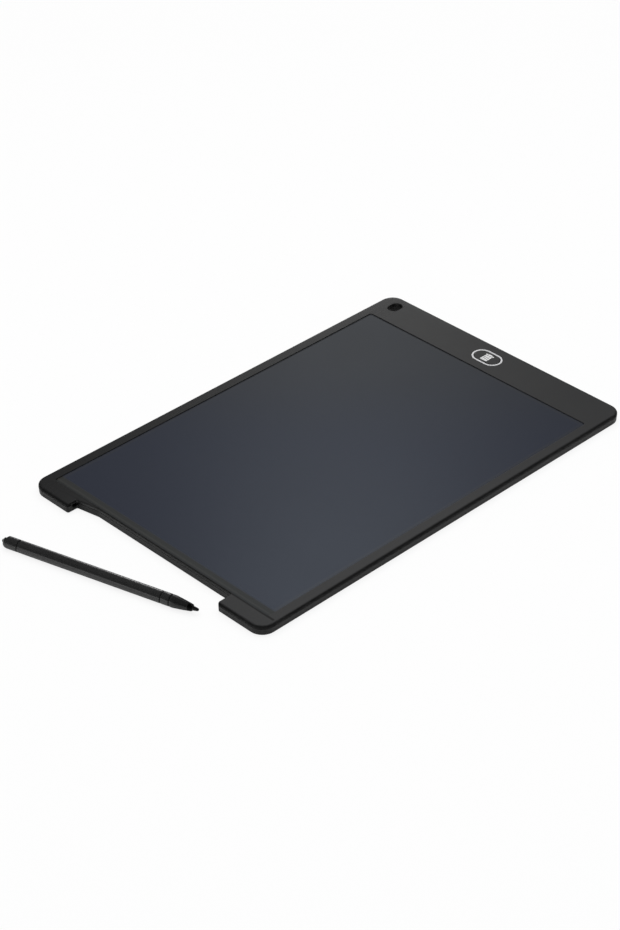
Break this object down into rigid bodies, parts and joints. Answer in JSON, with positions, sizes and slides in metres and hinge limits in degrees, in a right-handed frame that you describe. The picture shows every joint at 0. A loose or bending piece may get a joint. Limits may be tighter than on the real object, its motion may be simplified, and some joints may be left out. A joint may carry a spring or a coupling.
{
  "type": "lcd writing tablet",
  "caption": "Thin writing tablet with a framed pressure-sensitive film, a push button for erasing, a lanyard hole, a stylus notch in one end and a loose stylus.",
  "frame": {"origin": "centre of the rear cover's flat outer face, midway between the long sides and midway between the two ends", "axes": "+X across the tablet, +Y along it from the stylus notch towards the erase button, +Z out of the writing surface"},
  "size_m": [0.187, 0.3357, 0.0071],
  "materials": {
    "cover_plastic": "fine satin texture, charcoal",
    "rear_plastic": "fine matte texture, charcoal",
    "writing_film": "smooth low-gloss film, dark blue grey",
    "black_board": "flat black sheet",
    "foam": "soft closed-cell foam",
    "copper": "thin sprung metal",
    "connector_plastic": "natural nylon",
    "circuit_board": "green solder mask",
    "chip_plastic": "moulded epoxy",
    "ferrite": "sintered grey",
    "ceramic": "fired ceramic",
    "white_trim": "satin white",
    "rubber": "matte black",
    "steel": "plated",
    "stylus_plastic": "smooth semi-gloss, charcoal",
    "nib_plastic": "smooth black"
  },
  "bodies": {
    "tablet": {"front_cover": "cover_plastic", "rear_cover": "rear_plastic", "writing_film": "writing_film", "backing_board": "black_board", "foam_pad": "foam", "film_tail": "copper", "film_connector": "connector_plastic", "circuit_board": "circuit_board", "driver_chip": "chip_plastic", "boost_inductor": "ferrite", "capacitor_1": "ceramic", "capacitor_2": "ceramic", "rectifier_diode": "chip_plastic", "button_ring": "white_trim", "erase_switch": "chip_plastic", "lock_switch": "steel", "positive_contact": "copper", "negative_contact": "copper", "case_screw_1": "steel", "case_screw_2": "steel", "case_screw_3": "steel", "case_screw_4": "steel", "board_screw_1": "steel", "board_screw_2": "steel", "foot_1": "rubber", "foot_2": "rubber", "foot_3": "rubber", "foot_4": "rubber"},
    "erase_key": {"erase_button": "cover_plastic"},
    "switch_plunger": {"erase_plunger": "rubber"},
    "slider": {"lock_slider": "rear_plastic"},
    "switch_lever": {"lock_lever": "chip_plastic"},
    "door": {"battery_door": "rear_plastic", "door_screw": "steel"},
    "cell": {"coin_cell": "steel"},
    "stylus": {"stylus_cap": "stylus_plastic", "stylus_barrel": "stylus_plastic", "stylus_collar": "stylus_plastic", "stylus_nose": "stylus_plastic", "stylus_nib": "nib_plastic"}
  },
  "joints": [
    {"name": "erase_press", "type": "slide", "parent": "tablet", "child": "erase_key", "axis": [0, 0, -1], "range_m": [0, 0.0003], "stiffness_N_per_m": 800, "springref_m": -0.0015},
    {"name": "plunger_press", "type": "slide", "parent": "tablet", "child": "switch_plunger", "axis": [0, 0, -1], "range_m": [0, 0.0003]},
    {"name": "lock_slide", "type": "slide", "parent": "tablet", "child": "slider", "axis": [1, 0, 0], "range_m": [0, 0.002]},
    {"name": "lever_slide", "type": "slide", "parent": "tablet", "child": "switch_lever", "axis": [1, 0, 0], "range_m": [0, 0.002]},
    {"name": "door_lift", "type": "slide", "parent": "tablet", "child": "door", "axis": [0, 0, -1], "range_m": [0, 0.03]},
    {"name": "cell_drop", "type": "slide", "parent": "tablet", "child": "cell", "axis": [0, 0, -1], "range_m": [0, 0.012]},
    {"name": "stylus_lift", "type": "slide", "parent": "tablet", "child": "stylus", "axis": [0, 0, 1], "range_m": [0, 0.1]}
  ],
  "couplings": [
    {"joint": "plunger_press", "follows": "erase_press", "ratio": 1},
    {"joint": "lever_slide", "follows": "lock_slide", "ratio": 1},
    {"joint": "cell_drop", "follows": "door_lift", "ratio": 0.4}
  ]
}
